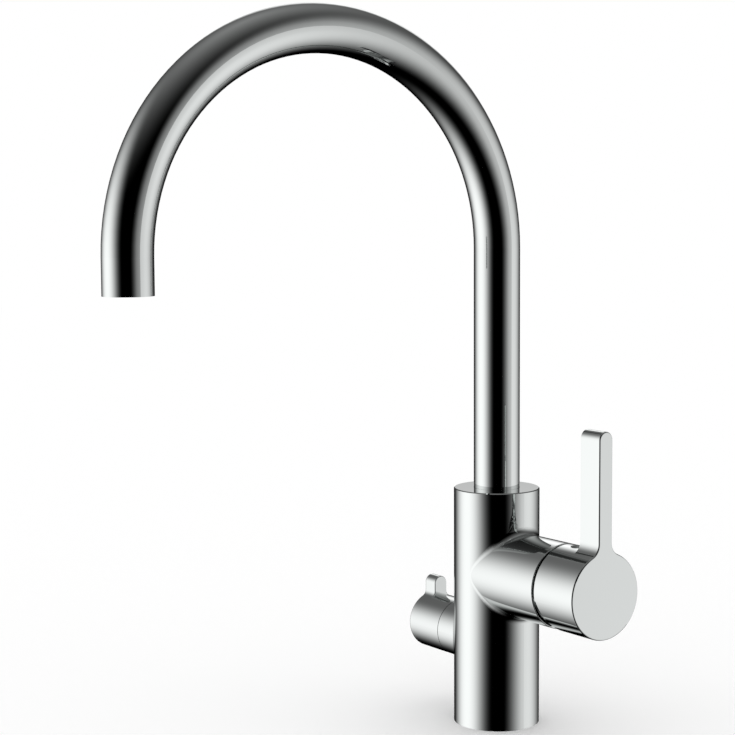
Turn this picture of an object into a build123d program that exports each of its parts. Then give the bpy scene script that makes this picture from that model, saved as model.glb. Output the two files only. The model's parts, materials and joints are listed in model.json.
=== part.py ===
from build123d import *
import math
import os

# Three way filtered water tap for one hole in a sink or worktop. A round column carries a
# swivelling arched spout, a single lever mixer on a branch to the right (+X) and a quarter
# turn valve for filtered water on a branch to the left (-X). The spout points to the user
# (-Y). The filtered water has its own way through the column and the spout. Millimetres,
# +Z up, origin at the centre of the column's foot on the deck.

os.makedirs("parts", exist_ok=True)

# ---- driving dimensions ------------------------------------------------------------------

# clearances
running_gap = 0.05        # radial, shaft in its bore
seal_gap = 0.03           # ring seal to its bore and to its groove
fit_gap = 0.1             # radial, loose or threaded pieces in their holes
part_gap = 0.2            # end gap between pieces that must not press on each other
overcut = 1.0             # how far shapes run past what they cut or join

# column and its waterways
column_radius = 23.75
column_edge = 0.5
base_cavity_radius = 19.5
base_cavity_depth = 18.0
inlet_bore_radius = 4.5   # tapping size of an M10x1 thread
inlet_thread_length = 12.0
inlet_x = 8.0
stud_bore_radius = 2.5    # tapping size of an M6 thread
stud_thread_length = 14.0
stud_circle_radius = 13.5
stud_angle = 118.0
channel_radius = 3.25
channel_wall = 3.45
outlet_wall = 2.2         # from the mixed water channel to the cartridge's bore
cross_wall = 3.0          # from the filtered water's cross channel to the pipe's socket
chamber_radius = 10.5
chamber_height = 7.0
spigot_depth = 28.0
filter_axis_z = 46.4
mixer_axis_z = 85.8
branch_blend = 4.0
branch_edge = 0.5          # rounded rims on both sides of the lever's gap

# gasket under the column
gasket_inner = 20.9
gasket_outer = 22.4
gasket_thickness = 2.0

# spout
tube_radius = 12.7
tube_wall = 1.0
tube_foot_gap = 0.2
spout_leg = 132.4
spout_reach = 226.7
mouth_drop = 18.6
swivel_limit = 60.0       # degrees to each side

# spigot that turns in the column
spigot_play = 0.15
spigot_bore_radius = 8.5
spigot_neck = 12.7        # part of the spigot inside the spout tube
slide_ring_height = 3.0
slide_ring_depth = 1.0
spigot_groove_radius = 10.35
spigot_land = 1.0
thrust_ring_thickness = 1.0
slot_floor_radius = 10.9
stop_screw_radius = 2.0
stop_screw_length = 8.0
stop_slot_play = 0.5      # degrees left at each end of the slot

# filtered water pipe inside the column and the spout
pipe_radius = 4.0
pipe_wall = 1.0
pipe_socket_depth = 7.0
pipe_seal_groove = 1.25
coupling_radius = 6.3
coupling_socket = 12.0
coupling_flange = 2.5
coupling_flow_holes = 12

# aerator in the mouth
aerator_recess = 1.5
aerator_length = 14.5
aerator_wall = 1.85
aerator_lip = 1.0
insert_plate = 1.5
insert_wall = 0.6
insert_length = 11.5
jet_radius = 0.55
washer_thickness = 1.5
washer_inner = 7.0
nozzle_wall = 1.15
nozzle_bore_radius = 2.5
nozzle_grip = 10.0
hose_end_drop = 2.0       # the hose ends this far below the insert's top

# mixer cartridge, from the floor of its bore outwards
branch_radius = 23.07
cartridge_floor_x = 17.0
cartridge_radius = 17.5
cartridge_wall = 1.9
base_thickness = 9.0
base_seal_depth = 1.9
port_radius = 2.7
inlet_port_y = 7.5
inlet_port_rise = 4.5
outlet_port_drop = 8.0
port_seal_radius = 4.3
port_seal_thickness = 1.2
peg_radius = 1.9
peg_length = 2.5
peg_y = 11.0
peg_drop = 7.0
fixed_disc_radius = 15.0
fixed_disc_thickness = 4.0
moving_disc_radius = 13.0
moving_disc_thickness = 3.5
mixing_hollow_radius = 5.9
mixing_hollow_depth = 2.2
mixing_slot_length = 9.0
outlet_slot_angle = 80.0
carrier_thickness = 5.5
carrier_key_width = 7.0
carrier_key_length = 12.0
carrier_key_height = 2.5
carrier_peg_radius = 1.3
carrier_peg_length = 1.5
carrier_peg_y = 9.5
rotor_flange_thickness = 1.6
rotor_radius = 12.5
rotor_overhang = 3.1
rotor_slot_length = 18.0
rotor_seal_depth = 1.4
turn_limit = 45.0         # degrees, hot to cold each way
turn_stop_angle = 49.0
turn_tab_depth = 2.0
turn_tab_clearance = 0.3
housing_end_wall = 4.8
nut_radius = 18.5
nut_bore_radius = 13.2
nut_length = 6.0
nut_key_depth = 1.0
dome_radius = 20.8
dome_wall = 1.4
dome_skirt = 5.0
dome_skirt_inner = 17.6
dome_reach = 7.1

# mixer lever
tilt_limit = 15.0         # degrees, shut to full flow
rim_gap = 1.6
lever_depth = 30.15
blade_depth = 14.4
blade_width = 9.1
blade_reach = 86.1
blade_root_radius = 7.2
lever_edge = 0.75
dome_clearance = 0.6
relief_drop = 4.4         # the relief starts this far below the axis, with a small step
relief_step = 1.2
relief_step_drop = 0.5
relief_depth = 6.4
boss_radius = 9.0
boss_start = 6.6          # from the tilt axis
stem_width = 7.0
stem_height = 8.0
stem_reach = 21.6
stem_ball_arm = 17.4
stem_ball_radius = 2.4
stem_neck_radius = 1.9
stem_shoulder = 12.4
stem_pin_radius = 2.0
stem_pin_length = 22.0
lever_screw_radius = 2.5
lever_screw_length = 5.0
lever_screw_offset = 10.7
lever_screw_sink = 1.7

# filtered water valve, from the floor of its bore outwards
filter_branch_radius = 15.9
filter_branch_edge = 0.15
filter_branch_reach = 33.5
filter_inlet_x = -4.0
filter_port_radius = 3.0
filter_floor_wall = 2.0
bush_radius = 10.5
bush_wall = 1.0
bush_seal_depth = 1.4
seat_seal_thickness = 2.0
seat_seal_wall = 1.2
filter_disc_thickness = 2.5
filter_window_inner = 3.0
filter_window_outer = 8.0
filter_window_angle = 80.0
driver_length = 4.0
driver_plate = 1.4
driver_leg_angle = 40.0
driver_leg_bite = 1.0
driver_leg_inner = 6.0
bush_window_radius = 1.9
bush_flange_radius = 12.0
bush_flange_thickness = 1.5
bush_hub_radius = 7.0
stop_lug_height = 2.0
stop_lug_inner = 8.5
spindle_radius = 4.5
spindle_groove_radius = 3.3
spindle_length = 30.0
spindle_seal_start = 5.0  # from the bush's shoulder
spindle_seal_pitch = 4.0
spindle_flat_depth = 1.0
circlip_thickness = 1.0
circlip_groove_depth = 0.8
circlip_outer = 6.4
circlip_opening = 60.0

# filtered water knob
knob_seam = 0.25
knob_length = 26.9
knob_cavity_radius = 12.6
knob_cavity_depth = 7.9
knob_edge = 1.0
fin_width = 8.5
fin_depth = 9.45
fin_reach = 26.6
fin_root_radius = 4.0
fin_edge = 0.5
fin_disc_step = 0.05      # the fin's disc is a hair smaller than the knob's band
knob_screw_radius = 2.0
knob_screw_length = 5.0
quarter_turn = 90.0
stop_play = 1.0           # degrees left at each stop

# ---- places that follow ------------------------------------------------------------------

# heights along the column
chamber_floor_z = mixer_axis_z + inlet_port_rise + channel_radius + channel_wall
spout_seat_z = chamber_floor_z + chamber_height
column_height = spout_seat_z + spigot_depth
spigot_radius = tube_radius + fit_gap - spigot_play
spout_bore_radius = tube_radius + fit_gap
tube_foot_z = column_height + tube_foot_gap
spout_spring_z = tube_foot_z + spout_leg
arch_radius = spout_reach / 2
mouth_z = spout_spring_z - mouth_drop
spigot_foot_z = spout_seat_z + thrust_ring_thickness
spigot_top_z = tube_foot_z + spigot_neck
spigot_cord = (spout_bore_radius - spigot_groove_radius) / 2 - seal_gap
spigot_groove_width = 2 * spigot_cord + part_gap
stop_screw_z = spout_seat_z + spigot_depth / 2
stop_screw_angle = math.degrees(math.asin(stop_screw_radius / slot_floor_radius))
stop_slot_half = swivel_limit + stop_slot_play + stop_screw_angle

# filtered water pipe
pipe_bore_radius = pipe_radius - pipe_wall
pipe_socket_radius = pipe_radius + running_gap
pipe_foot_z = chamber_floor_z - pipe_socket_depth
coupling_flange_z = spigot_top_z
coupling_foot_z = coupling_flange_z - coupling_socket - running_gap
pipe_top_z = coupling_flange_z - coupling_socket / 2
hose_foot_z = coupling_flange_z - coupling_flange
coupling_top_z = coupling_flange_z + coupling_socket / 2
pipe_groove_width = 2 * (pipe_seal_groove / 2 - seal_gap) + part_gap

# mixer cartridge stations on the mixer axis
fixed_disc_x = cartridge_floor_x + base_thickness
moving_disc_x = fixed_disc_x + fixed_disc_thickness
carrier_x = moving_disc_x + moving_disc_thickness
carrier_end_x = carrier_x + carrier_thickness
rotor_x = carrier_end_x + 2 * part_gap
rotor_flange_end_x = rotor_x + rotor_flange_thickness
housing_wall_x = rotor_flange_end_x + part_gap
housing_end_x = housing_wall_x + housing_end_wall
nut_end_x = housing_end_x + nut_length
branch_end_x = nut_end_x + dome_skirt
pivot_x = branch_end_x
rotor_end_x = pivot_x + rotor_overhang
cartridge_bore_radius = cartridge_radius + fit_gap
housing_cavity_radius = cartridge_radius - cartridge_wall
nut_bore_in_branch = nut_radius + fit_gap
rotor_seal_x = housing_wall_x + housing_end_wall / 2

# the moving disc slides across the axis as the lever tilts
disc_travel = stem_ball_arm * math.sin(math.radians(tilt_limit))
disc_shift = disc_travel / 2
socket_radius = stem_ball_radius + part_gap
stem_ball_x = pivot_x - stem_ball_arm
turn_stop_outer = housing_cavity_radius - turn_tab_clearance
turn_stop_inner = turn_stop_outer - turn_tab_depth

# lever
rim_x = branch_end_x + rim_gap
lever_end_x = rim_x + lever_depth
blade_x = lever_end_x - blade_depth
lever_cavity_radius = dome_radius + dome_clearance
stem_end_x = pivot_x + stem_reach
lever_screw_x = pivot_x + lever_screw_offset

# filtered water valve stations, as distances from the column's axis towards -X
filter_floor = -filter_inlet_x + filter_port_radius + filter_floor_wall
filter_fixed_disc = filter_floor + seat_seal_thickness
filter_moving_disc = filter_fixed_disc + filter_disc_thickness
filter_driver = filter_moving_disc + filter_disc_thickness
filter_shoulder = filter_driver + driver_length + part_gap
filter_outlet = filter_driver + driver_length / 2
bush_flange_end = filter_branch_reach + bush_flange_thickness
bush_end = bush_flange_end + stop_lug_height
circlip_seat = bush_end + part_gap
spindle_end = filter_driver + driver_length + spindle_length
bush_bore_radius = bush_radius - bush_wall
filter_disc_radius = bush_bore_radius - part_gap
bush_seal_at = (filter_shoulder + filter_branch_reach) / 2
spindle_seals_at = [filter_shoulder + spindle_seal_start,
                    filter_shoulder + spindle_seal_start + spindle_seal_pitch]
filter_cross_z = pipe_foot_z - filter_port_radius - cross_wall
spindle_bore_radius = spindle_radius + running_gap

# filtered water knob
knob_start = filter_branch_reach + knob_seam
knob_end = knob_start + knob_length
knob_cavity_end = knob_start + knob_cavity_depth
knob_screw_at = (knob_cavity_end + spindle_end) / 2
knob_bore_end = spindle_end + part_gap

# ---- planes and repeated shapes ----------------------------------------------------------

mixer_axis = Axis((0, 0, mixer_axis_z), (1, 0, 0))


def mixer_plane(x):
    """Plane across the mixer axis, facing +X: its x is +Y and its y is +Z."""
    return Plane(origin=(x, 0, mixer_axis_z), x_dir=(0, 1, 0), z_dir=(1, 0, 0))


def filter_plane(reach):
    """Plane across the filter axis, facing -X: its x is -Y and its y is +Z."""
    return Plane(origin=(-reach, 0, filter_axis_z), x_dir=(0, -1, 0), z_dir=(-1, 0, 0))


def bar(plane, radius, length, mode=Mode.ADD):
    """Straight round bar that starts on a plane, or a round hole with Mode.SUBTRACT."""
    with BuildSketch(plane) as section:
        Circle(radius)
    extrude(section.sketch, amount=length, mode=mode)


def tube(plane, outer, inner, length, mode=Mode.ADD):
    """Straight tube that starts on a plane, or a ring groove with Mode.SUBTRACT."""
    with BuildSketch(plane) as section:
        Circle(outer)
        Circle(inner, mode=Mode.SUBTRACT)
    extrude(section.sketch, amount=length, mode=mode)


def ring_sector(plane, outer, inner, middle, sweep, length, mode=Mode.ADD):
    """Piece of a tube, centred on the angle middle and sweep degrees wide."""
    with BuildSketch(plane) as section:
        with BuildLine():
            far = CenterArc((0, 0), outer, middle - sweep / 2, sweep)
            near = CenterArc((0, 0), inner, middle - sweep / 2, sweep)
            Line(far @ 0, near @ 0)
            Line(far @ 1, near @ 1)
        make_face()
    extrude(section.sketch, amount=length, mode=mode)


def ring_seal(plane, outer, inner):
    """Round ring seal that fills the space from inner to outer, less its gaps."""
    with Locations(plane):
        Torus((outer + inner) / 2, (outer - inner) / 2 - seal_gap)


def hex_socket(plane, across_flats, depth):
    """Hexagonal key socket cut from a plane."""
    with BuildSketch(plane) as section:
        RegularPolygon(across_flats / 2, 6, major_radius=False)
    extrude(section.sketch, amount=depth, mode=Mode.SUBTRACT)


def grub_screw(plane, radius, length):
    """Headless set screw that starts on a plane, with its key socket at the far end."""
    bar(plane, radius, length)
    socket_depth = length / 2
    hex_socket(plane.offset(length - socket_depth), radius, socket_depth)


# ---- body casting ------------------------------------------------------------------------

inlet_points = [(inlet_x, inlet_port_y), (inlet_x, -inlet_port_y), (filter_inlet_x, 0)]
inlet_channel_top = mixer_axis_z + inlet_port_rise
outlet_port_z = mixer_axis_z - outlet_port_drop
outlet_channel_x = cartridge_floor_x - channel_radius - outlet_wall
stud_points = [
    (
        stud_circle_radius * math.cos(math.radians(angle)),
        stud_circle_radius * math.sin(math.radians(angle)),
    )
    for angle in (stud_angle, -stud_angle)
]
mixer_inlet_ports = [(inlet_port_y, inlet_port_rise), (-inlet_port_y, inlet_port_rise)]
mixer_ports = mixer_inlet_ports + [(0, -outlet_port_drop)]
peg_points = [(peg_y, -peg_drop), (-peg_y, -peg_drop)]

with BuildPart() as body_casting:
    bar(Plane.XY, column_radius, column_height)
    chamfer(body_casting.edges().group_by(Axis.Z)[-1], column_edge)
    bar(mixer_plane(0), branch_radius, branch_end_x)
    bar(filter_plane(0), filter_branch_radius, filter_branch_reach)
    fillet(body_casting.edges().filter_by(GeomType.BSPLINE), branch_blend)
    branch_rims = body_casting.edges().filter_by(GeomType.CIRCLE).group_by(Axis.X)
    fillet(branch_rims[-1], branch_edge)
    chamfer(branch_rims[0], filter_branch_edge)

    # open foot with the gasket's groove
    bar(Plane.XY, base_cavity_radius, base_cavity_depth, Mode.SUBTRACT)
    tube(Plane.XY, gasket_outer + running_gap, gasket_inner - running_gap, gasket_thickness,
         Mode.SUBTRACT)

    # threaded holes in the roof of the foot, for three inlets and two studs
    with BuildSketch(Plane.XY.offset(base_cavity_depth)):
        with Locations(*inlet_points):
            Circle(inlet_bore_radius)
    extrude(amount=inlet_thread_length, mode=Mode.SUBTRACT)
    with BuildSketch(Plane.XY.offset(base_cavity_depth)):
        with Locations(*stud_points):
            Circle(stud_bore_radius)
    extrude(amount=stud_thread_length, mode=Mode.SUBTRACT)

    # hot and cold channels, up and then out to the cartridge
    for point in inlet_points[:2]:
        foot = Plane(origin=(*point, base_cavity_depth))
        bar(foot, channel_radius, inlet_channel_top - base_cavity_depth, Mode.SUBTRACT)
    with BuildSketch(mixer_plane(inlet_x)):
        with Locations(*mixer_inlet_ports):
            Circle(port_radius)
    extrude(amount=cartridge_floor_x - inlet_x, mode=Mode.SUBTRACT)

    # mixed water channel, from the cartridge up into the chamber under the spout
    outlet_elbow = Plane(origin=(outlet_channel_x, 0, outlet_port_z))
    with BuildSketch(mixer_plane(outlet_channel_x)):
        with Locations((0, -outlet_port_drop)):
            Circle(port_radius)
    extrude(amount=cartridge_floor_x - outlet_channel_x, mode=Mode.SUBTRACT)
    bar(outlet_elbow, channel_radius, chamber_floor_z + chamber_height / 2 - outlet_port_z,
        Mode.SUBTRACT)

    # chamber and bore for the spout's spigot
    bar(Plane.XY.offset(chamber_floor_z), chamber_radius, chamber_height, Mode.SUBTRACT)
    bar(Plane.XY.offset(spout_seat_z), spout_bore_radius, spigot_depth, Mode.SUBTRACT)
    stop_bore = Plane(origin=(0, 0, stop_screw_z), x_dir=(1, 0, 0), z_dir=(0, 1, 0))
    bar(stop_bore, stop_screw_radius + running_gap, column_radius + overcut, Mode.SUBTRACT)

    # cartridge bore, wider at its mouth for the nut and the dome
    bar(mixer_plane(cartridge_floor_x), cartridge_bore_radius, branch_end_x, Mode.SUBTRACT)
    bar(mixer_plane(housing_end_x - part_gap), nut_bore_in_branch, branch_end_x, Mode.SUBTRACT)
    with BuildSketch(mixer_plane(cartridge_floor_x - peg_length - part_gap)):
        with Locations(*peg_points):
            Circle(peg_radius + fit_gap)
    extrude(amount=peg_length + part_gap, mode=Mode.SUBTRACT)

    # filtered water: inlet channel, valve bore, then up and across to the pipe's socket
    filter_foot = Plane(origin=(filter_inlet_x, 0, base_cavity_depth))
    bar(filter_foot, filter_port_radius, filter_axis_z - base_cavity_depth, Mode.SUBTRACT)
    bar(filter_plane(-filter_inlet_x), filter_port_radius, filter_branch_reach, Mode.SUBTRACT)
    bar(filter_plane(filter_floor), bush_radius + fit_gap, filter_branch_reach, Mode.SUBTRACT)
    outlet_foot = Plane(origin=(-filter_outlet, 0, filter_axis_z))
    bar(outlet_foot, filter_port_radius, filter_cross_z - filter_axis_z, Mode.SUBTRACT)
    cross_start = Plane(origin=(0, 0, filter_cross_z), x_dir=(0, -1, 0), z_dir=(-1, 0, 0))
    bar(cross_start, filter_port_radius, filter_outlet, Mode.SUBTRACT)
    for corner_x in (0, -filter_outlet):
        with Locations((corner_x, 0, filter_cross_z)):
            Sphere(filter_port_radius, mode=Mode.SUBTRACT)
    bar(Plane.XY.offset(filter_cross_z), filter_port_radius, chamber_floor_z - filter_cross_z,
        Mode.SUBTRACT)
    bar(Plane.XY.offset(pipe_foot_z), pipe_socket_radius, pipe_socket_depth, Mode.SUBTRACT)
    pipe_groove = Plane.XY.offset(pipe_foot_z + pipe_socket_depth / 2)
    tube(pipe_groove, pipe_radius + pipe_seal_groove, pipe_radius, pipe_groove_width,
         Mode.SUBTRACT)
body_casting.part.label = "body_casting"
export_step(body_casting.part, "parts/body_casting.step")

with BuildPart() as deck_gasket:
    tube(Plane.XY, gasket_outer, gasket_inner, gasket_thickness)
deck_gasket.part.label = "deck_gasket"
export_step(deck_gasket.part, "parts/deck_gasket.step")

# ---- spout -------------------------------------------------------------------------------

with BuildPart() as spout_tube:
    with BuildLine() as spout_path:
        Line((0, 0, tube_foot_z), (0, 0, spout_spring_z))
        ThreePointArc((0, 0, spout_spring_z),
                      (0, -arch_radius, spout_spring_z + arch_radius),
                      (0, -spout_reach, spout_spring_z))
        Line((0, -spout_reach, spout_spring_z), (0, -spout_reach, mouth_z))
    with BuildSketch(Plane.XY.offset(tube_foot_z)):
        Circle(tube_radius)
        Circle(tube_radius - tube_wall, mode=Mode.SUBTRACT)
    sweep(path=spout_path.wire())
spout_tube.part.label = "spout_tube"
export_step(spout_tube.part, "parts/spout_tube.step")

# the spigot has, from its foot up: slide ring, seal, stop slot, seal, slide ring
lower_ring_z = spigot_foot_z + spigot_land
lower_seal_z = lower_ring_z + slide_ring_height + spigot_land + spigot_groove_width / 2
upper_ring_z = column_height - 3 * spigot_land - slide_ring_height
upper_seal_z = upper_ring_z - spigot_land - spigot_groove_width / 2
neck_radius = tube_radius - tube_wall - running_gap

with BuildPart() as spout_spigot:
    bar(Plane.XY.offset(spigot_foot_z), spigot_radius, tube_foot_z - spigot_foot_z)
    bar(Plane.XY.offset(tube_foot_z), neck_radius, spigot_neck)
    bar(Plane.XY.offset(spigot_foot_z), spigot_bore_radius, spigot_top_z - spigot_foot_z,
        Mode.SUBTRACT)
    for ring_z in (lower_ring_z, upper_ring_z):
        tube(Plane.XY.offset(ring_z), tube_radius + overcut, spigot_radius - slide_ring_depth,
             slide_ring_height, Mode.SUBTRACT)
    for seal_z in (lower_seal_z, upper_seal_z):
        tube(Plane.XY.offset(seal_z - spigot_groove_width / 2), tube_radius + overcut,
             spigot_groove_radius, spigot_groove_width, Mode.SUBTRACT)
    slot_height = 2 * (stop_screw_radius + part_gap)
    ring_sector(Plane.XY.offset(stop_screw_z - slot_height / 2), tube_radius + overcut,
                slot_floor_radius, 90, 2 * stop_slot_half, slot_height, Mode.SUBTRACT)
spout_spigot.part.label = "spout_spigot"
export_step(spout_spigot.part, "parts/spout_spigot.step")

with BuildPart() as spout_slide_rings:
    for ring_z in (lower_ring_z, upper_ring_z):
        tube(Plane.XY.offset(ring_z + seal_gap), spout_bore_radius - running_gap,
             spigot_radius - slide_ring_depth + seal_gap, slide_ring_height - 2 * seal_gap)
spout_slide_rings.part.label = "spout_slide_rings"
export_step(spout_slide_rings.part, "parts/spout_slide_rings.step")

with BuildPart() as spout_seals:
    for seal_z in (lower_seal_z, upper_seal_z):
        ring_seal(Plane.XY.offset(seal_z), spout_bore_radius, spigot_groove_radius)
spout_seals.part.label = "spout_seals"
export_step(spout_seals.part, "parts/spout_seals.step")

with BuildPart() as spout_thrust_ring:
    tube(Plane.XY.offset(spout_seat_z), spigot_radius, chamber_radius, thrust_ring_thickness)
spout_thrust_ring.part.label = "spout_thrust_ring"
export_step(spout_thrust_ring.part, "parts/spout_thrust_ring.step")

with BuildPart() as spout_stop_screw:
    screw_tip = Plane(origin=(0, slot_floor_radius + part_gap, stop_screw_z), x_dir=(1, 0, 0),
                      z_dir=(0, 1, 0))
    grub_screw(screw_tip, stop_screw_radius, stop_screw_length)
spout_stop_screw.part.label = "spout_stop_screw"
export_step(spout_stop_screw.part, "parts/spout_stop_screw.step")

# ---- filtered water pipe in the column and the spout -------------------------------------

with BuildPart() as filter_riser_pipe:
    tube(Plane.XY.offset(pipe_foot_z), pipe_radius, pipe_bore_radius, pipe_top_z - pipe_foot_z)
filter_riser_pipe.part.label = "filter_riser_pipe"
export_step(filter_riser_pipe.part, "parts/filter_riser_pipe.step")

with BuildPart() as riser_foot_seal:
    ring_seal(pipe_groove.offset(pipe_groove_width / 2), pipe_radius + pipe_seal_groove,
              pipe_radius)
riser_foot_seal.part.label = "riser_foot_seal"
export_step(riser_foot_seal.part, "parts/riser_foot_seal.step")

coupling_seal_z = (coupling_foot_z + pipe_top_z) / 2
coupling_flange_radius = neck_radius
coupling_flow_circle = (spigot_bore_radius + coupling_radius) / 2
coupling_flow_radius = (spigot_bore_radius - coupling_radius) / 2

with BuildPart() as riser_coupling:
    bar(Plane.XY.offset(coupling_foot_z), coupling_radius, coupling_top_z - coupling_foot_z)
    bar(Plane.XY.offset(coupling_flange_z), coupling_flange_radius, coupling_flange)
    bar(Plane.XY.offset(coupling_foot_z), pipe_bore_radius, coupling_top_z - coupling_foot_z,
        Mode.SUBTRACT)
    bar(Plane.XY.offset(coupling_foot_z), pipe_socket_radius,
        pipe_top_z + part_gap - coupling_foot_z, Mode.SUBTRACT)
    bar(Plane.XY.offset(hose_foot_z), pipe_socket_radius, coupling_top_z - hose_foot_z,
        Mode.SUBTRACT)
    tube(Plane.XY.offset(coupling_seal_z - pipe_groove_width / 2),
         pipe_radius + pipe_seal_groove, pipe_radius, pipe_groove_width, Mode.SUBTRACT)
    with BuildSketch(Plane.XY.offset(coupling_flange_z)):
        with PolarLocations(coupling_flow_circle, coupling_flow_holes):
            Circle(coupling_flow_radius)
    extrude(amount=coupling_flange, mode=Mode.SUBTRACT)
riser_coupling.part.label = "riser_coupling"
export_step(riser_coupling.part, "parts/riser_coupling.step")

with BuildPart() as riser_top_seal:
    ring_seal(Plane.XY.offset(coupling_seal_z), pipe_radius + pipe_seal_groove, pipe_radius)
riser_top_seal.part.label = "riser_top_seal"
export_step(riser_top_seal.part, "parts/riser_top_seal.step")

nozzle_foot_z = mouth_z + aerator_recess + part_gap
aerator_foot_z = mouth_z + aerator_recess
insert_foot_z = aerator_foot_z + aerator_lip
insert_top_z = insert_foot_z + insert_length
hose_end_z = insert_top_z - hose_end_drop
aerator_top_z = aerator_foot_z + aerator_length

with BuildPart() as filter_hose:
    with BuildLine() as hose_path:
        Line((0, 0, hose_foot_z), (0, 0, spout_spring_z))
        ThreePointArc((0, 0, spout_spring_z),
                      (0, -arch_radius, spout_spring_z + arch_radius),
                      (0, -spout_reach, spout_spring_z))
        Line((0, -spout_reach, spout_spring_z), (0, -spout_reach, hose_end_z))
    with BuildSketch(Plane.XY.offset(hose_foot_z)):
        Circle(pipe_radius)
        Circle(pipe_bore_radius, mode=Mode.SUBTRACT)
    sweep(path=hose_path.wire())
filter_hose.part.label = "filter_hose"
export_step(filter_hose.part, "parts/filter_hose.step")

# ---- aerator in the mouth ----------------------------------------------------------------

aerator_radius = tube_radius - tube_wall - running_gap
aerator_bore_radius = aerator_radius - aerator_wall
nozzle_socket_radius = pipe_radius + fit_gap
nozzle_radius = nozzle_socket_radius + nozzle_wall
insert_outer = aerator_bore_radius - fit_gap
insert_inner = nozzle_radius + fit_gap
jet_pitch = 3 * jet_radius


def mouth_plane(z):
    """Plane across the mouth's axis, facing up."""
    return Plane(origin=(0, -spout_reach, z))


with BuildPart() as aerator_housing:
    tube(mouth_plane(aerator_foot_z), aerator_radius, aerator_bore_radius, aerator_length)
    tube(mouth_plane(aerator_foot_z), aerator_radius, aerator_bore_radius - aerator_lip / 2,
         aerator_lip)
aerator_housing.part.label = "aerator_housing"
export_step(aerator_housing.part, "parts/aerator_housing.step")

with BuildPart() as aerator_insert:
    tube(mouth_plane(insert_foot_z), insert_outer, insert_inner, insert_plate)
    tube(mouth_plane(insert_foot_z), insert_outer, insert_outer - insert_wall, insert_length)
    tube(mouth_plane(insert_foot_z), insert_inner + insert_wall, insert_inner, insert_length)
    with BuildSketch(mouth_plane(insert_foot_z)):
        jet_circle = insert_inner + insert_wall + 2 * jet_radius
        while jet_circle < insert_outer - insert_wall - jet_radius:
            with PolarLocations(jet_circle, int(2 * math.pi * jet_circle / jet_pitch)):
                Circle(jet_radius)
            jet_circle += jet_pitch
    extrude(amount=insert_plate, mode=Mode.SUBTRACT)
aerator_insert.part.label = "aerator_insert"
export_step(aerator_insert.part, "parts/aerator_insert.step")

with BuildPart() as aerator_washer:
    tube(mouth_plane(aerator_top_z), aerator_radius, washer_inner, washer_thickness)
aerator_washer.part.label = "aerator_washer"
export_step(aerator_washer.part, "parts/aerator_washer.step")

with BuildPart() as filter_nozzle:
    nozzle_length = hose_end_z + nozzle_grip - nozzle_foot_z
    bar(mouth_plane(nozzle_foot_z), nozzle_radius, nozzle_length)
    bar(mouth_plane(insert_top_z), insert_inner + insert_wall, insert_plate)
    bar(mouth_plane(nozzle_foot_z), nozzle_bore_radius, nozzle_length, Mode.SUBTRACT)
    bar(mouth_plane(hose_end_z), nozzle_socket_radius, nozzle_length, Mode.SUBTRACT)
filter_nozzle.part.label = "filter_nozzle"
export_step(filter_nozzle.part, "parts/filter_nozzle.step")

# ---- mixer cartridge ---------------------------------------------------------------------

base_groove_radius = cartridge_bore_radius - base_seal_depth
base_groove_width = base_seal_depth + part_gap

with BuildPart() as cartridge_base:
    bar(mixer_plane(cartridge_floor_x), cartridge_radius, base_thickness)
    with BuildSketch(mixer_plane(cartridge_floor_x - peg_length)):
        with Locations(*peg_points):
            Circle(peg_radius)
    extrude(amount=peg_length)
    with BuildSketch(mixer_plane(cartridge_floor_x)):
        with Locations(*mixer_ports):
            Circle(port_radius)
    extrude(amount=base_thickness, mode=Mode.SUBTRACT)
    with BuildSketch(mixer_plane(cartridge_floor_x)):
        with Locations(*mixer_ports):
            Circle(port_seal_radius + fit_gap)
    extrude(amount=port_seal_thickness, mode=Mode.SUBTRACT)
    tube(mixer_plane(cartridge_floor_x + base_thickness / 2 - base_groove_width / 2),
         cartridge_radius + overcut, base_groove_radius, base_groove_width, Mode.SUBTRACT)
cartridge_base.part.label = "cartridge_base"
export_step(cartridge_base.part, "parts/cartridge_base.step")

with BuildPart() as cartridge_port_seals:
    with BuildSketch(mixer_plane(cartridge_floor_x)):
        with Locations(*mixer_ports):
            Circle(port_seal_radius)
            Circle(port_radius + fit_gap, mode=Mode.SUBTRACT)
    extrude(amount=port_seal_thickness)
cartridge_port_seals.part.label = "cartridge_port_seals"
export_step(cartridge_port_seals.part, "parts/cartridge_port_seals.step")

with BuildPart() as cartridge_base_seal:
    ring_seal(mixer_plane(cartridge_floor_x + base_thickness / 2), cartridge_bore_radius,
              base_groove_radius)
cartridge_base_seal.part.label = "cartridge_base_seal"
export_step(cartridge_base_seal.part, "parts/cartridge_base_seal.step")

with BuildPart() as mixer_fixed_disc:
    with BuildSketch(mixer_plane(fixed_disc_x)):
        Circle(fixed_disc_radius)
        with Locations(*mixer_inlet_ports):
            Circle(port_radius, mode=Mode.SUBTRACT)
        slot_line = CenterArc((0, 0), outlet_port_drop, 270 - outlet_slot_angle / 2,
                              outlet_slot_angle, mode=Mode.PRIVATE)
        SlotArc(slot_line, 2 * port_radius, mode=Mode.SUBTRACT)
    extrude(amount=fixed_disc_thickness)
mixer_fixed_disc.part.label = "mixer_fixed_disc"
export_step(mixer_fixed_disc.part, "parts/mixer_fixed_disc.step")

carrier_pegs = [(carrier_peg_y, -disc_shift), (-carrier_peg_y, -disc_shift)]

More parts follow.
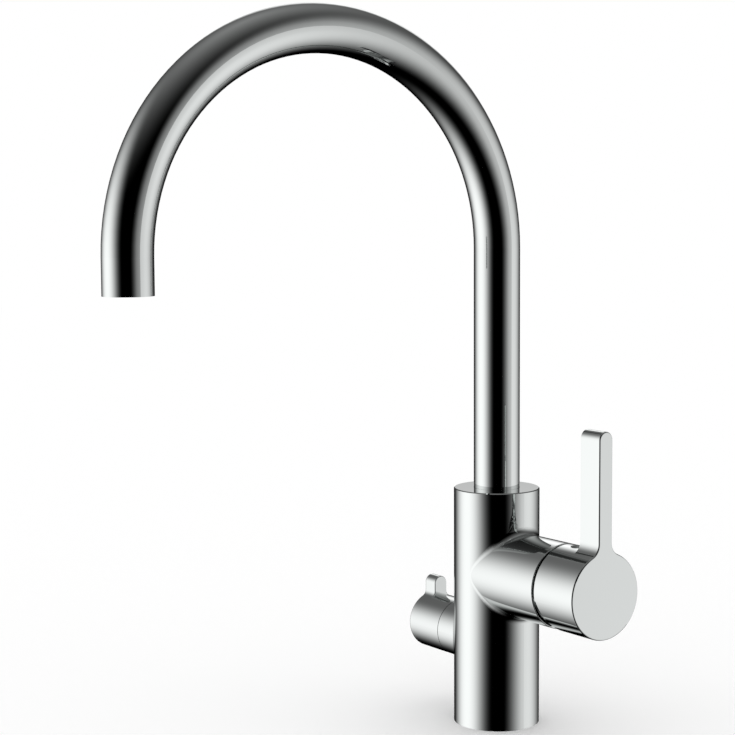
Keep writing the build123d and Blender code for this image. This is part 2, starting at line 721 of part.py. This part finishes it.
with BuildPart() as mixer_moving_disc:
    with BuildSketch(mixer_plane(moving_disc_x)):
        with Locations((0, -disc_shift)):
            Circle(moving_disc_radius)
    extrude(amount=moving_disc_thickness)
    with BuildSketch(mixer_plane(moving_disc_x)):
        Circle(mixing_hollow_radius)
        with Locations((0, -mixing_slot_length / 2)):
            SlotCenterToCenter(mixing_slot_length, 2 * port_radius, rotation=90)
    extrude(amount=mixing_hollow_depth, mode=Mode.SUBTRACT)
    with BuildSketch(mixer_plane(carrier_x)):
        with Locations(*carrier_pegs):
            Circle(carrier_peg_radius + fit_gap)
    extrude(amount=-carrier_peg_length - part_gap, mode=Mode.SUBTRACT)
mixer_moving_disc.part.label = "mixer_moving_disc"
export_step(mixer_moving_disc.part, "parts/mixer_moving_disc.step")

with BuildPart() as mixer_disc_carrier:
    with BuildSketch(mixer_plane(carrier_x)):
        with Locations((0, -disc_shift)):
            Circle(moving_disc_radius)
    extrude(amount=carrier_thickness)
    with BuildSketch(mixer_plane(carrier_end_x)):
        with Locations((0, -disc_shift)):
            Rectangle(carrier_key_width, carrier_key_length)
    extrude(amount=carrier_key_height)
    with BuildSketch(mixer_plane(carrier_x)):
        with Locations(*carrier_pegs):
            Circle(carrier_peg_radius)
    extrude(amount=-carrier_peg_length)
    socket_depth = carrier_end_x + carrier_key_height - stem_ball_x + stem_ball_radius + overcut
    bar(mixer_plane(carrier_end_x + carrier_key_height - socket_depth), socket_radius,
        socket_depth, Mode.SUBTRACT)
mixer_disc_carrier.part.label = "mixer_disc_carrier"
export_step(mixer_disc_carrier.part, "parts/mixer_disc_carrier.step")

with BuildPart() as cartridge_housing:
    tube(mixer_plane(fixed_disc_x), cartridge_radius, housing_cavity_radius,
         housing_wall_x - fixed_disc_x)
    tube(mixer_plane(housing_wall_x), cartridge_radius, rotor_radius + fit_gap,
         housing_end_wall)
    ring_sector(mixer_plane(rotor_x - part_gap), housing_cavity_radius + cartridge_wall / 2,
                turn_stop_inner + part_gap, 270, turn_stop_angle,
                housing_wall_x - rotor_x + part_gap)
cartridge_housing.part.label = "cartridge_housing"
export_step(cartridge_housing.part, "parts/cartridge_housing.step")

rotor_seal_groove = rotor_radius + fit_gap - rotor_seal_depth
rotor_groove_width = rotor_seal_depth + part_gap
turn_tab_angle = 360 - turn_stop_angle - 2 * turn_limit - 2 * stop_play

with BuildPart() as cartridge_rotor:
    bar(mixer_plane(rotor_x), turn_stop_inner, rotor_flange_thickness)
    ring_sector(mixer_plane(rotor_x), turn_stop_outer, turn_stop_inner - overcut, 90,
                turn_tab_angle, rotor_flange_thickness)
    bar(mixer_plane(rotor_flange_end_x), rotor_radius, rotor_end_x - rotor_flange_end_x)
    tube(mixer_plane(rotor_seal_x - rotor_groove_width / 2), rotor_radius + overcut,
         rotor_seal_groove, rotor_groove_width, Mode.SUBTRACT)
    with BuildSketch(mixer_plane(rotor_x)):
        Rectangle(stem_width + part_gap, rotor_slot_length)
    extrude(amount=rotor_end_x - rotor_x, mode=Mode.SUBTRACT)
    pin_bore = Plane(origin=(pivot_x, -branch_radius, mixer_axis_z), x_dir=(1, 0, 0),
                     z_dir=(0, 1, 0))
    bar(pin_bore, stem_pin_radius + seal_gap, 2 * branch_radius, Mode.SUBTRACT)
cartridge_rotor.part.label = "cartridge_rotor"
export_step(cartridge_rotor.part, "parts/cartridge_rotor.step")

with BuildPart() as cartridge_rotor_seal:
    ring_seal(mixer_plane(rotor_seal_x), rotor_radius + fit_gap, rotor_seal_groove)
cartridge_rotor_seal.part.label = "cartridge_rotor_seal"
export_step(cartridge_rotor_seal.part, "parts/cartridge_rotor_seal.step")

with BuildPart() as cartridge_nut:
    tube(mixer_plane(housing_end_x), nut_radius, nut_bore_radius, nut_length)
    hex_socket(mixer_plane(housing_end_x + nut_length / 3), 2 * (nut_bore_radius + nut_key_depth),
               nut_length)
cartridge_nut.part.label = "cartridge_nut"
export_step(cartridge_nut.part, "parts/cartridge_nut.step")

# dome over the cartridge: a band of a sphere round the tilt axis, on a screwed skirt
dome_inner = dome_radius - dome_wall
dome_floor_x = pivot_x + dome_wall
dome_end_x = pivot_x + dome_reach


def sphere_radius_at(sphere_radius, x):
    """Radius of a sphere round the tilt axis where a plane across the mixer axis cuts it."""
    return math.sqrt(sphere_radius ** 2 - (x - pivot_x) ** 2)


def sphere_point(sphere_radius, x):
    """Point of the upper outline of a sphere round the tilt axis, in the XZ plane."""
    return (x, mixer_axis_z + sphere_radius_at(sphere_radius, x))


with BuildPart() as mixer_dome:
    with BuildSketch(Plane.XZ):
        with BuildLine():
            Polyline((nut_end_x, mixer_axis_z + nut_radius),
                     (nut_end_x, mixer_axis_z + dome_skirt_inner),
                     (dome_floor_x, mixer_axis_z + dome_skirt_inner),
                     sphere_point(dome_inner, dome_floor_x))
            ThreePointArc(sphere_point(dome_inner, dome_floor_x),
                          sphere_point(dome_inner, (dome_floor_x + dome_end_x) / 2),
                          sphere_point(dome_inner, dome_end_x))
            Line(sphere_point(dome_inner, dome_end_x), sphere_point(dome_radius, dome_end_x))
            ThreePointArc(sphere_point(dome_radius, dome_end_x),
                          sphere_point(dome_radius, (pivot_x + dome_end_x) / 2),
                          sphere_point(dome_radius, pivot_x))
            Polyline(sphere_point(dome_radius, pivot_x), (pivot_x, mixer_axis_z + nut_radius),
                     (nut_end_x, mixer_axis_z + nut_radius))
        make_face()
    revolve(axis=mixer_axis)
mixer_dome.part.label = "mixer_dome"
export_step(mixer_dome.part, "parts/mixer_dome.step")

# ---- mixer lever -------------------------------------------------------------------------

with BuildPart() as lever_stem:
    with BuildSketch(mixer_plane(pivot_x - stem_shoulder)):
        Rectangle(stem_width, stem_height)
    extrude(amount=stem_shoulder + stem_reach)
    bar(mixer_plane(stem_ball_x), stem_neck_radius, pivot_x - stem_shoulder - stem_ball_x)
    with Locations((stem_ball_x, 0, mixer_axis_z)):
        Sphere(stem_ball_radius)
    bar(pin_bore, stem_pin_radius + running_gap, 2 * branch_radius, Mode.SUBTRACT)
lever_stem.part.label = "lever_stem"
export_step(lever_stem.part, "parts/lever_stem.step")

with BuildPart() as lever_pin:
    bar(Plane(origin=(pivot_x, -stem_pin_length / 2, mixer_axis_z), x_dir=(1, 0, 0),
              z_dir=(0, 1, 0)), stem_pin_radius, stem_pin_length)
lever_pin.part.label = "lever_pin"
export_step(lever_pin.part, "parts/lever_pin.step")

screw_seat_z = mixer_axis_z + stem_height / 2 + running_gap
screw_plane = Plane(origin=(lever_screw_x, 0, screw_seat_z))
blade_straight = blade_reach - blade_width / 2

with BuildPart() as mixer_lever:
    # blade, with a round tip and hollow corners where it leaves the cap
    with BuildSketch(mixer_plane(blade_x)) as blade_face:
        Circle(branch_radius)
        with Locations((0, blade_straight / 2)):
            Rectangle(blade_width, blade_straight)
        corners = blade_face.vertices().filter_by(lambda v: v.Y < blade_straight - overcut)
        fillet(corners, blade_root_radius)
        with Locations((0, blade_straight)):
            Circle(blade_width / 2)
    extrude(amount=blade_depth)
    fillet(mixer_lever.faces().sort_by(Axis.X)[-1].edges(), lever_edge)
    bar(mixer_plane(rim_x), branch_radius, lever_depth - blade_depth)
    fillet(mixer_lever.faces().sort_by(Axis.X)[0].edges(), branch_edge)
    # hollow for the dome, and the slope that lets the lever tilt
    with BuildSketch(Plane.XZ):
        with BuildLine():
            Line((pivot_x, mixer_axis_z), (pivot_x, mixer_axis_z + lever_cavity_radius))
            RadiusArc((pivot_x, mixer_axis_z + lever_cavity_radius),
                      (pivot_x + lever_cavity_radius, mixer_axis_z), lever_cavity_radius)
            Line((pivot_x + lever_cavity_radius, mixer_axis_z), (pivot_x, mixer_axis_z))
        make_face()
    revolve(axis=mixer_axis, mode=Mode.SUBTRACT)
    with BuildSketch(Plane.XZ):
        with BuildLine():
            Polyline((rim_x, mixer_axis_z - relief_drop),
                     (rim_x + relief_step, mixer_axis_z - relief_drop - relief_step_drop),
                     (rim_x + relief_depth, mixer_axis_z - branch_radius),
                     (rim_x + relief_depth, mixer_axis_z - branch_radius - overcut),
                     (rim_x - overcut, mixer_axis_z - branch_radius - overcut),
                     (rim_x - overcut, mixer_axis_z - relief_drop), close=True)
        make_face()
    extrude(amount=branch_radius + overcut, both=True, mode=Mode.SUBTRACT)
    # boss with the stem's socket and the screw that clamps it
    bar(mixer_plane(pivot_x + boss_start), boss_radius, lever_cavity_radius - boss_start + overcut)
    with BuildSketch(mixer_plane(pivot_x + boss_start)):
        Rectangle(stem_width + fit_gap, stem_height + fit_gap)
    extrude(amount=stem_reach - boss_start + part_gap, mode=Mode.SUBTRACT)
    bar(screw_plane, lever_screw_radius, branch_radius, Mode.SUBTRACT)
    screw_rim = Plane(origin=(lever_screw_x, 0, mixer_axis_z + branch_radius))
    with Locations(screw_rim):
        Cone(lever_screw_radius, lever_screw_radius + lever_screw_sink, lever_screw_sink,
             align=(Align.CENTER, Align.CENTER, Align.MAX), mode=Mode.SUBTRACT)
mixer_lever.part.label = "mixer_lever"
export_step(mixer_lever.part, "parts/mixer_lever.step")

with BuildPart() as lever_grub_screw:
    grub_screw(screw_plane, lever_screw_radius - running_gap, lever_screw_length)
lever_grub_screw.part.label = "lever_grub_screw"
export_step(lever_grub_screw.part, "parts/lever_grub_screw.step")

# ---- filtered water valve ----------------------------------------------------------------

with BuildPart() as filter_seat_seal:
    tube(filter_plane(filter_floor), filter_disc_radius, filter_disc_radius - seat_seal_wall,
         seat_seal_thickness)
filter_seat_seal.part.label = "filter_seat_seal"
export_step(filter_seat_seal.part, "parts/filter_seat_seal.step")

with BuildPart() as filter_fixed_ceramic:
    bar(filter_plane(filter_fixed_disc), filter_disc_radius, filter_disc_thickness)
    for side in (0, 180):
        ring_sector(filter_plane(filter_fixed_disc), filter_window_outer, filter_window_inner,
                    side, filter_window_angle, filter_disc_thickness, Mode.SUBTRACT)
filter_fixed_ceramic.part.label = "filter_fixed_ceramic"
export_step(filter_fixed_ceramic.part, "parts/filter_fixed_ceramic.step")

driver_radius = filter_disc_radius

with BuildPart() as filter_moving_ceramic:
    bar(filter_plane(filter_moving_disc), filter_disc_radius, filter_disc_thickness)
    for side in (90, 270):
        ring_sector(filter_plane(filter_moving_disc), filter_window_outer, filter_window_inner,
                    side, filter_window_angle, filter_disc_thickness, Mode.SUBTRACT)
    for side in (0, 180):
        ring_sector(filter_plane(filter_driver - driver_leg_bite - part_gap),
                    filter_disc_radius + overcut, driver_leg_inner - fit_gap, side,
                    driver_leg_angle + stop_play, driver_leg_bite + part_gap, Mode.SUBTRACT)
filter_moving_ceramic.part.label = "filter_moving_ceramic"
export_step(filter_moving_ceramic.part, "parts/filter_moving_ceramic.step")

with BuildPart() as filter_valve_bush:
    bush_start = filter_floor + part_gap
    bar(filter_plane(bush_start), bush_radius, filter_branch_reach - bush_start)
    bar(filter_plane(filter_branch_reach), bush_flange_radius, bush_flange_thickness)
    bar(filter_plane(bush_flange_end), bush_hub_radius, stop_lug_height)
    ring_sector(filter_plane(bush_flange_end), bush_flange_radius, stop_lug_inner, 270, 180,
                stop_lug_height)
    bar(filter_plane(bush_start), bush_bore_radius, filter_shoulder - bush_start, Mode.SUBTRACT)
    bar(filter_plane(bush_start), spindle_bore_radius, bush_end, Mode.SUBTRACT)
    bar(Plane(origin=(-filter_outlet, 0, filter_axis_z)), bush_window_radius, 2 * bush_radius,
        Mode.SUBTRACT)
    bush_groove_radius = bush_radius + fit_gap - bush_seal_depth
    bush_groove_width = bush_seal_depth + part_gap
    tube(filter_plane(bush_seal_at - bush_groove_width / 2), bush_radius + overcut,
         bush_groove_radius, bush_groove_width, Mode.SUBTRACT)
filter_valve_bush.part.label = "filter_valve_bush"
export_step(filter_valve_bush.part, "parts/filter_valve_bush.step")

with BuildPart() as filter_bush_seal:
    ring_seal(filter_plane(bush_seal_at), bush_radius + fit_gap, bush_groove_radius)
filter_bush_seal.part.label = "filter_bush_seal"
export_step(filter_bush_seal.part, "parts/filter_bush_seal.step")

spindle_groove_width = spindle_bore_radius - spindle_groove_radius + part_gap
circlip_groove_radius = spindle_radius - circlip_groove_depth

with BuildPart() as filter_spindle:
    plate_at = filter_driver + driver_length - driver_plate
    bar(filter_plane(plate_at), driver_radius, driver_plate)
    for side in (0, 180):
        ring_sector(filter_plane(filter_driver - driver_leg_bite), driver_radius,
                    driver_leg_inner, side, driver_leg_angle,
                    driver_length - driver_plate + driver_leg_bite)
    bar(filter_plane(plate_at), spindle_radius, spindle_end - plate_at)
    for seal_at in spindle_seals_at:
        tube(filter_plane(seal_at - spindle_groove_width / 2), spindle_radius + overcut,
             spindle_groove_radius, spindle_groove_width, Mode.SUBTRACT)
    tube(filter_plane(circlip_seat), spindle_radius + overcut, circlip_groove_radius,
         circlip_thickness + seal_gap, Mode.SUBTRACT)
    # flat for the knob's screw, on the underside
    flat_start = filter_plane(knob_cavity_end)
    with BuildSketch(flat_start):
        with Locations((0, -spindle_radius)):
            Rectangle(2 * spindle_radius, 2 * spindle_flat_depth)
    extrude(amount=spindle_end - knob_cavity_end, mode=Mode.SUBTRACT)
filter_spindle.part.label = "filter_spindle"
export_step(filter_spindle.part, "parts/filter_spindle.step")

with BuildPart() as filter_spindle_seals:
    for seal_at in spindle_seals_at:
        ring_seal(filter_plane(seal_at), spindle_bore_radius, spindle_groove_radius)
filter_spindle_seals.part.label = "filter_spindle_seals"
export_step(filter_spindle_seals.part, "parts/filter_spindle_seals.step")

with BuildPart() as filter_circlip:
    ring_sector(filter_plane(circlip_seat), circlip_outer, circlip_groove_radius + seal_gap, 90,
                360 - circlip_opening, circlip_thickness)
filter_circlip.part.label = "filter_circlip"
export_step(filter_circlip.part, "parts/filter_circlip.step")

# ---- filtered water knob -----------------------------------------------------------------

fin_straight = fin_reach - fin_width / 2
knob_lug_angle = 360 - 180 - quarter_turn - 2 * stop_play
knob_screw_seat = filter_axis_z - spindle_radius + spindle_flat_depth - running_gap
knob_screw_plane = Plane(origin=(-knob_screw_at, 0, knob_screw_seat), x_dir=(1, 0, 0),
                         z_dir=(0, 0, -1))

with BuildPart() as filter_knob:
    # fin, with a round tip and hollow corners where it leaves the knob
    with BuildSketch(filter_plane(knob_end - fin_depth)) as fin_face:
        Circle(filter_branch_radius - fin_disc_step)
        with Locations((0, fin_straight / 2)):
            Rectangle(fin_width, fin_straight)
        corners = fin_face.vertices().filter_by(lambda v: v.Y < fin_straight - overcut)
        fillet(corners, fin_root_radius)
        with Locations((0, fin_straight)):
            Circle(fin_width / 2)
    extrude(amount=fin_depth)
    fillet(filter_knob.faces().sort_by(Axis.X)[0].edges(), knob_edge)
    fillet(filter_knob.faces().sort_by(Axis.X)[-1].edges(), fin_edge)
    bar(filter_plane(knob_start), filter_branch_radius, knob_length - fin_depth + 2 * fin_edge)
    # hollow for the bush, with the lug that meets the bush's stop
    bar(filter_plane(knob_start), knob_cavity_radius, knob_cavity_depth, Mode.SUBTRACT)
    ring_sector(filter_plane(bush_flange_end + part_gap), filter_branch_radius - overcut,
                stop_lug_inner + fit_gap, 180 - stop_play - knob_lug_angle / 2, knob_lug_angle,
                knob_cavity_end - bush_flange_end - part_gap)
    bar(filter_plane(knob_start), spindle_bore_radius, knob_bore_end - knob_start,
        Mode.SUBTRACT)
    bar(knob_screw_plane, knob_screw_radius + running_gap, filter_branch_radius,
        Mode.SUBTRACT)
filter_knob.part.label = "filter_knob"
export_step(filter_knob.part, "parts/filter_knob.step")

with BuildPart() as knob_grub_screw:
    grub_screw(knob_screw_plane, knob_screw_radius, knob_screw_length)
knob_grub_screw.part.label = "knob_grub_screw"
export_step(knob_grub_screw.part, "parts/knob_grub_screw.step")
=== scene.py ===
import json
import math

import bmesh
import bpy
from mathutils import Matrix, Vector

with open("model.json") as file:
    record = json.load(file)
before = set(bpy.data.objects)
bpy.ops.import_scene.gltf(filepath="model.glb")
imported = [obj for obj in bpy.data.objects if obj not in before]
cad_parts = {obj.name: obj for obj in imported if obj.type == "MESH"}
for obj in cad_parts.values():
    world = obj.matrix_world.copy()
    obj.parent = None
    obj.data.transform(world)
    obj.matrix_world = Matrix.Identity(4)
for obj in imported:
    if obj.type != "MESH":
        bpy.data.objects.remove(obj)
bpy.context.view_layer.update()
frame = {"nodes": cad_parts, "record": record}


# ---- camera ------------------------------------------------------------------------------

def set_camera():
    """Camera at the photograph's place: 51 degrees to the right of the front and 7 above, in
    radians and metres. It looks level along that azimuth, then turns by tilt, pan and roll."""
    azimuth, elevation, distance = 0.88567, 0.12041, 0.995435
    tilt, pan, roll = -0.092865, 0.072, 0.001074
    centre_height = 0.171
    flat = math.cos(elevation)
    place = Vector((0, 0, centre_height)) + distance * Vector(
        (math.sin(azimuth) * flat, -math.cos(azimuth) * flat, math.sin(elevation)))
    right = Vector((math.cos(azimuth), math.sin(azimuth), 0))
    back = Vector((math.sin(azimuth), -math.cos(azimuth), 0))
    level = Matrix((right, Vector((0, 0, 1)), back)).transposed()
    turned = (level @ Matrix.Rotation(tilt, 3, "X") @ Matrix.Rotation(pan, 3, "Y")
              @ Matrix.Rotation(roll, 3, "Z"))
    data = bpy.data.cameras.new("camera")
    data.sensor_width = 36
    data.lens = 87.8035
    data.clip_start = 0.01
    data.clip_end = 20
    camera = bpy.data.objects.new("camera", data)
    camera.matrix_world = Matrix.Translation(place) @ turned.to_4x4()
    bpy.context.scene.collection.objects.link(camera)
    bpy.context.scene.camera = camera


set_camera()


# ---- nodes of a material -----------------------------------------------------------------

NOISE_LOW = 0.3     # nearly all of a noise lies between these two
NOISE_HIGH = 0.7


def blank_tree(name):
    """New material with an empty node tree and its output, as (material, tree, output)."""
    material = bpy.data.materials.new(name)
    material.use_nodes = True
    tree = material.node_tree
    tree.nodes.clear()
    return material, tree, tree.nodes.new("ShaderNodeOutputMaterial")


def maths(tree, operation, *values):
    """Math node; each of its one or two values is a socket or a number."""
    node = tree.nodes.new("ShaderNodeMath")
    node.operation = operation
    for value, socket in zip(values, node.inputs):
        if isinstance(value, bpy.types.NodeSocket):
            tree.links.new(value, socket)
        else:
            socket.default_value = value
    return node.outputs[0]


def noise(tree, size, detail=2.0, stretch=(1, 1, 1)):
    """Noise with features of about size metres, drawn out along the axes by stretch."""
    place = tree.nodes.new("ShaderNodeTexCoord")
    mapping = tree.nodes.new("ShaderNodeMapping")
    mapping.inputs["Scale"].default_value = [1 / factor for factor in stretch]
    texture = tree.nodes.new("ShaderNodeTexNoise")
    texture.inputs["Scale"].default_value = 1 / size
    texture.inputs["Detail"].default_value = detail
    tree.links.new(place.outputs["Object"], mapping.inputs["Vector"])
    tree.links.new(mapping.outputs[0], texture.inputs["Vector"])
    return texture.outputs[0]


def between(tree, value, low, high):
    """The middle part of a noise, spread from low to high."""
    spread = tree.nodes.new("ShaderNodeMapRange")
    tree.links.new(value, spread.inputs["Value"])
    spread.inputs["From Min"].default_value = NOISE_LOW
    spread.inputs["From Max"].default_value = NOISE_HIGH
    spread.inputs["To Min"].default_value = low
    spread.inputs["To Max"].default_value = high
    return spread.outputs[0]


def shades(tree, value, dark, light):
    """Colour that drifts between two shades with a noise."""
    ramp = tree.nodes.new("ShaderNodeValToRGB")
    ramp.color_ramp.elements[0].position = NOISE_LOW
    ramp.color_ramp.elements[0].color = (*dark, 1)
    ramp.color_ramp.elements[1].position = NOISE_HIGH
    ramp.color_ramp.elements[1].color = (*light, 1)
    tree.links.new(value, ramp.inputs[0])
    return ramp.outputs["Color"]


def relief(tree, value, height):
    """Bump of so many metres from a noise."""
    bump = tree.nodes.new("ShaderNodeBump")
    bump.inputs["Strength"].default_value = 1
    bump.inputs["Distance"].default_value = height
    tree.links.new(value, bump.inputs["Height"])
    return bump.outputs[0]


def surface(name, metallic):
    """New material with its shader, as (material, tree, shader)."""
    material, tree, output = blank_tree(name)
    shader = tree.nodes.new("ShaderNodeBsdfPrincipled")
    shader.inputs["Metallic"].default_value = metallic
    tree.links.new(shader.outputs[0], output.inputs["Surface"])
    return material, tree, shader


# ---- materials ---------------------------------------------------------------------------

def chrome():
    """Polished plating: a mirror with faint waves from buffing and faint clouds from wiping."""
    material, tree, shader = surface("chrome", 1)
    shader.inputs["Base Color"].default_value = (0.785, 0.808, 0.800, 1)
    wipe = noise(tree, size=0.03, detail=4, stretch=(1, 1, 3))
    waves = noise(tree, size=0.02, detail=1)
    tree.links.new(between(tree, wipe, low=0.02, high=0.05), shader.inputs["Roughness"])
    tree.links.new(relief(tree, waves, height=3e-6), shader.inputs["Normal"])
    return material


def brass():
    """Machined brass: slightly clouded, with fine marks of the tool."""
    material, tree, shader = surface("brass", 1)
    cloud = noise(tree, size=0.006, detail=4)
    marks = noise(tree, size=0.0004, stretch=(1, 1, 12))
    tree.links.new(shades(tree, cloud, dark=(0.62, 0.46, 0.21), light=(0.76, 0.61, 0.34)),
                   shader.inputs["Base Color"])
    tree.links.new(between(tree, marks, low=0.22, high=0.4), shader.inputs["Roughness"])
    tree.links.new(relief(tree, marks, height=1e-5), shader.inputs["Normal"])
    return material


def stainless_steel():
    """Drawn steel: grey, with fine upright lines."""
    material, tree, shader = surface("stainless_steel", 1)
    lines = noise(tree, size=0.0003, stretch=(1, 1, 20))
    cloud = noise(tree, size=0.005, detail=3)
    tree.links.new(shades(tree, cloud, dark=(0.55, 0.55, 0.56), light=(0.66, 0.66, 0.67)),
                   shader.inputs["Base Color"])
    tree.links.new(between(tree, lines, low=0.2, high=0.38), shader.inputs["Roughness"])
    tree.links.new(relief(tree, lines, height=8e-6), shader.inputs["Normal"])
    return material


def rubber():
    """Moulded black rubber: dull, with a fine grain and a trace of bloom."""
    material, tree, shader = surface("rubber", 0)
    grain = noise(tree, size=0.0003)
    bloom = noise(tree, size=0.004, detail=4)
    tree.links.new(shades(tree, bloom, dark=(0.022, 0.022, 0.022), light=(0.045, 0.045, 0.044)),
                   shader.inputs["Base Color"])
    tree.links.new(between(tree, grain, low=0.6, high=0.8), shader.inputs["Roughness"])
    tree.links.new(relief(tree, grain, height=3e-5), shader.inputs["Normal"])
    return material


def ceramic():
    """Lapped ceramic: off white, with faint specks."""
    material, tree, shader = surface("ceramic", 0)
    specks = noise(tree, size=0.0005, detail=5)
    tree.links.new(shades(tree, specks, dark=(0.84, 0.84, 0.81), light=(0.92, 0.92, 0.90)),
                   shader.inputs["Base Color"])
    tree.links.new(between(tree, specks, low=0.25, high=0.4), shader.inputs["Roughness"])
    tree.links.new(relief(tree, specks, height=4e-6), shader.inputs["Normal"])
    return material


def moulded_plastic(name, dark, light, smooth, dull):
    """Moulded plastic with a fine spark grain, smooth to dull in roughness."""
    material, tree, shader = surface(name, 0)
    grain = noise(tree, size=0.00025, detail=3)
    flow = noise(tree, size=0.008)
    tree.links.new(shades(tree, flow, dark, light), shader.inputs["Base Color"])
    tree.links.new(between(tree, grain, smooth, dull), shader.inputs["Roughness"])
    tree.links.new(relief(tree, grain, height=1e-5), shader.inputs["Normal"])
    return material


def dress_nodes():
    """Give every node the material of its slot in the record."""
    materials = {
        "chrome": chrome(),
        "brass": brass(),
        "stainless_steel": stainless_steel(),
        "rubber": rubber(),
        "ceramic": ceramic(),
        "cartridge_plastic": moulded_plastic(
            "cartridge_plastic", dark=(0.78, 0.79, 0.80), light=(0.85, 0.86, 0.87),
            smooth=0.4, dull=0.6),
        "dark_plastic": moulded_plastic(
            "dark_plastic", dark=(0.05, 0.05, 0.06), light=(0.07, 0.07, 0.08),
            smooth=0.35, dull=0.55),
        "hose_plastic": moulded_plastic(
            "hose_plastic", dark=(0.82, 0.84, 0.85), light=(0.87, 0.89, 0.90),
            smooth=0.22, dull=0.35),
    }
    for subpart in frame["record"]["subparts"]:
        node = frame["nodes"][subpart["node"]]
        node.data.materials.clear()
        node.data.materials.append(materials[subpart["material_slot"]])


dress_nodes()


# ---- studio ------------------------------------------------------------------------------

CAMERA_SIDE = -39.25     # degrees from +X towards +Y, seen from the object
WALL_RADIUS = 50         # metres, as is the floor's
FLOOR_RADIUS = 4


def backdrop(name, shape, material):
    """Scene object from a finished bmesh shape, in one material."""
    mesh = bpy.data.meshes.new(name)
    shape.to_mesh(mesh)
    shape.free()
    mesh.materials.append(material)
    thing = bpy.data.objects.new(name, mesh)
    bpy.context.scene.collection.objects.link(thing)
    return thing


def soft_light(tree, direction, azimuth, elevation, spread, strength, edge, fall):
    """Brightness of one large softbox along a direction from the object. It is strongest at its
    middle and falls to nothing at spread degrees from there; edge and fall shape the slope. The
    azimuth is counted from the camera's side of the object, to the right, in degrees."""
    turn = math.radians(azimuth + CAMERA_SIDE)
    rise = math.radians(elevation)
    dot = tree.nodes.new("ShaderNodeVectorMath")
    dot.operation = "DOT_PRODUCT"
    tree.links.new(direction, dot.inputs[0])
    dot.inputs[1].default_value = (math.cos(rise) * math.cos(turn),
                                   math.cos(rise) * math.sin(turn), math.sin(rise))
    angle = maths(tree, "ARCCOSINE", dot.outputs["Value"])
    share = maths(tree, "DIVIDE", angle, math.radians(spread))
    left_over = maths(tree, "SUBTRACT", 1.0, maths(tree, "POWER", share, edge))
    inside = maths(tree, "MAXIMUM", left_over, 0.0)
    return maths(tree, "MULTIPLY", maths(tree, "POWER", inside, fall), strength)


def set_softboxes():
    """Far round wall with four softboxes on black cards, seen only in reflections."""
    material, tree, output = blank_tree("softboxes")
    place = tree.nodes.new("ShaderNodeTexCoord")
    direction = tree.nodes.new("ShaderNodeVectorMath")
    direction.operation = "NORMALIZE"
    tree.links.new(place.outputs["Object"], direction.inputs[0])
    way = direction.outputs[0]
    left = soft_light(tree, way, azimuth=-87.5, elevation=-9.5, spread=80,
                      strength=1.22, edge=2.5, fall=4.9)
    right = soft_light(tree, way, azimuth=94.5, elevation=-14.5, spread=74.5,
                       strength=0.89, edge=2.1, fall=3.05)
    top = soft_light(tree, way, azimuth=196, elevation=72, spread=88,
                     strength=0.25, edge=1.3, fall=1.9)
    back = soft_light(tree, way, azimuth=180, elevation=21, spread=25,
                      strength=1.18, edge=2, fall=3)
    sides = maths(tree, "ADD", left, right)
    total = maths(tree, "ADD", sides, maths(tree, "ADD", top, back))
    light = tree.nodes.new("ShaderNodeEmission")
    tree.links.new(total, light.inputs["Strength"])
    tree.links.new(light.outputs[0], output.inputs["Surface"])
    material.cycles.emission_sampling = "NONE"

    shape = bmesh.new()
    bmesh.ops.create_uvsphere(shape, u_segments=48, v_segments=24, radius=WALL_RADIUS)
    wall = backdrop("softboxes", shape, material)
    wall.visible_camera = False
    wall.visible_diffuse = False
    wall.visible_transmission = False
    wall.visible_shadow = False


def set_floor():
    """Plain white floor that takes the object's shadow, open to a view from below."""
    material, tree, output = blank_tree("floor")
    matte = tree.nodes.new("ShaderNodeBsdfDiffuse")
    matte.inputs["Color"].default_value = (1, 1, 1, 1)
    below = tree.nodes.new("ShaderNodeBsdfTransparent")
    side = tree.nodes.new("ShaderNodeNewGeometry")
    mix = tree.nodes.new("ShaderNodeMixShader")
    tree.links.new(side.outputs["Backfacing"], mix.inputs[0])
    tree.links.new(matte.outputs[0], mix.inputs[1])
    tree.links.new(below.outputs[0], mix.inputs[2])
    tree.links.new(mix.outputs[0], output.inputs["Surface"])

    shape = bmesh.new()
    bmesh.ops.create_circle(shape, cap_ends=True, segments=64, radius=FLOOR_RADIUS)
    floor = backdrop("floor", shape, material)
    floor.visible_glossy = False


def set_world():
    """Even white light from all round, which is also the background, shown in plain colours."""
    world = bpy.data.worlds.new("studio")
    bpy.context.scene.world = world
    world.use_nodes = True
    around = world.node_tree.nodes["Background"]
    around.inputs["Color"].default_value = (1, 1, 1, 1)
    around.inputs["Strength"].default_value = 1
    bpy.context.scene.view_settings.view_transform = "Standard"


set_softboxes()
set_floor()
set_world()
